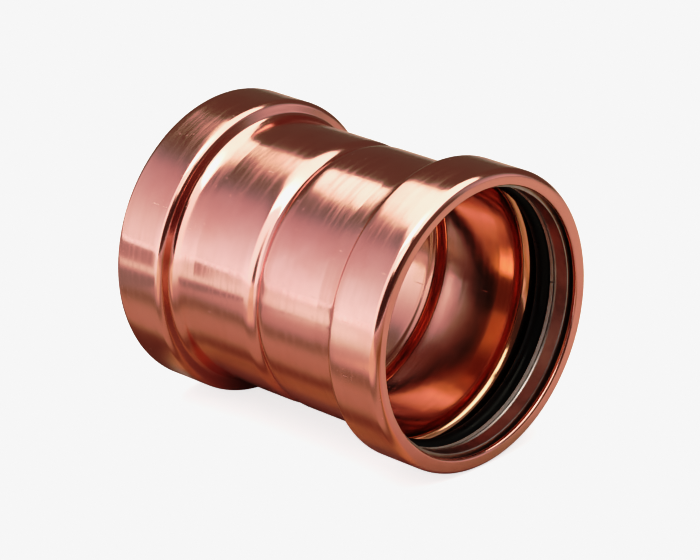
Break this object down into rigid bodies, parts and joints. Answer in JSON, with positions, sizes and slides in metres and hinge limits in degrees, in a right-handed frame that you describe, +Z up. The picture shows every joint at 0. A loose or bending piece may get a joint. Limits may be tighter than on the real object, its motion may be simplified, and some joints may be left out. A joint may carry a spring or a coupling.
{
  "type": "copper press coupling",
  "caption": "Straight copper press coupling with a rolled bead at each end that holds an O-ring, a separator ring and a split grip ring, and a rolled tube stop in the middle.",
  "frame": {"origin": "middle of the tube stop, on the axis, which is also the middle of the bounding box", "axes": "+X along the fitting's axis, out of the right socket; +Z up with the fitting lying on its side; +Y horizontal across it"},
  "size_m": [0.111, 0.0944, 0.0944],
  "materials": {
    "copper": "bright drawn copper, lightly handled",
    "seal": "black EPDM, faintly shiny with lubricant",
    "separator": "satin stainless strip",
    "grip": "fine ground hard stainless"
  },
  "bodies": {
    "coupling": {"coupling_body": "copper", "o_ring_right": "seal", "o_ring_left": "seal"},
    "separator_right": {"separator_ring_right": "separator"},
    "separator_left": {"separator_ring_left": "separator"},
    "grip_right": {"grip_ring_right": "grip"},
    "grip_left": {"grip_ring_left": "grip"}
  },
  "joints": [
    {"name": "separator_right_turn", "type": "hinge", "parent": "coupling", "child": "separator_right", "pos_m": [0.046, 0, 0], "axis": [1, 0, 0], "continuous": true},
    {"name": "grip_right_turn", "type": "hinge", "parent": "coupling", "child": "grip_right", "pos_m": [0.0499, 0, 0], "axis": [1, 0, 0], "continuous": true},
    {"name": "separator_left_turn", "type": "hinge", "parent": "coupling", "child": "separator_left", "pos_m": [-0.046, 0, 0], "axis": [1, 0, 0], "continuous": true},
    {"name": "grip_left_turn", "type": "hinge", "parent": "coupling", "child": "grip_left", "pos_m": [-0.0499, 0, 0], "axis": [1, 0, 0], "continuous": true}
  ]
}
